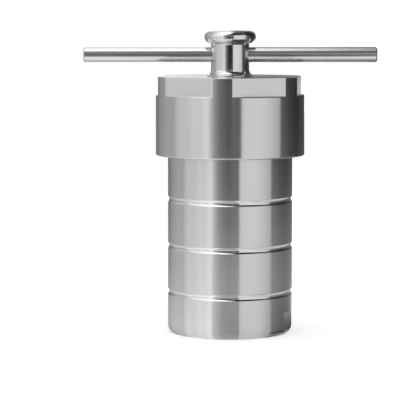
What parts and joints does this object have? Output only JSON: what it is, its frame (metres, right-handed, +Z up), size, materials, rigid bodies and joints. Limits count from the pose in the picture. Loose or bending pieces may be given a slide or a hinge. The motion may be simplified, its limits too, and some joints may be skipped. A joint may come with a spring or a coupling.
{
  "type": "hydrothermal reactor",
  "caption": "Cylindrical steel pressure vessel with a grooved body, a screw cap with milled flats and a pressing screw turned by a tommy bar, clamping a fluoropolymer liner shut.",
  "frame": {"origin": "centre of the vessel's base on the surface it stands on, on the vessel's axis", "axes": "+Z up along the vessel's axis, X along the tommy bar, -Y towards the side that the picture shows"},
  "size_m": [0.157, 0.08, 0.162],
  "materials": {
    "turned_steel": "stainless steel, fine turned lines round the axis, satin",
    "polished_steel": "stainless steel, turned and polished bright",
    "spring_steel": "dark spring steel, satin",
    "white_plastic": "white fluoropolymer, turned, waxy satin"
  },
  "bodies": {
    "vessel": {"shell": "turned_steel", "lower_disc": "turned_steel", "liner": "white_plastic", "liner_lid": "white_plastic"},
    "pressure_disc": {"pressure_disc": "turned_steel"},
    "cap": {"cap": "turned_steel"},
    "retaining_ring": {"retaining_ring": "spring_steel"},
    "press_screw": {"press_screw": "polished_steel"},
    "tommy_bar": {"tommy_bar": "polished_steel"}
  },
  "joints": [
    {"name": "cap_turn", "type": "hinge", "parent": "vessel", "child": "pressure_disc", "pos_m": [0, 0, 0.115], "axis": [0, 0, 1], "range_deg": [0, 2880]},
    {"name": "cap_lift", "type": "slide", "parent": "pressure_disc", "child": "cap", "axis": [0, 0, 1], "range_m": [0, 0.016]},
    {"name": "screw_lift", "type": "slide", "parent": "cap", "child": "retaining_ring", "axis": [0, 0, 1], "range_m": [0, 0.005]},
    {"name": "screw_turn", "type": "hinge", "parent": "retaining_ring", "child": "press_screw", "pos_m": [0, 0, 0.1376], "axis": [0, 0, 1], "range_deg": [0, 720]},
    {"name": "bar_slide", "type": "slide", "parent": "press_screw", "child": "tommy_bar", "axis": [1, 0, 0], "range_m": [-0.067, 0.067]}
  ],
  "couplings": [
    {"joint": "cap_lift", "follows": "cap_turn", "m_per_rad": 0.00031831},
    {"joint": "screw_lift", "follows": "screw_turn", "m_per_rad": 0.00039789}
  ]
}
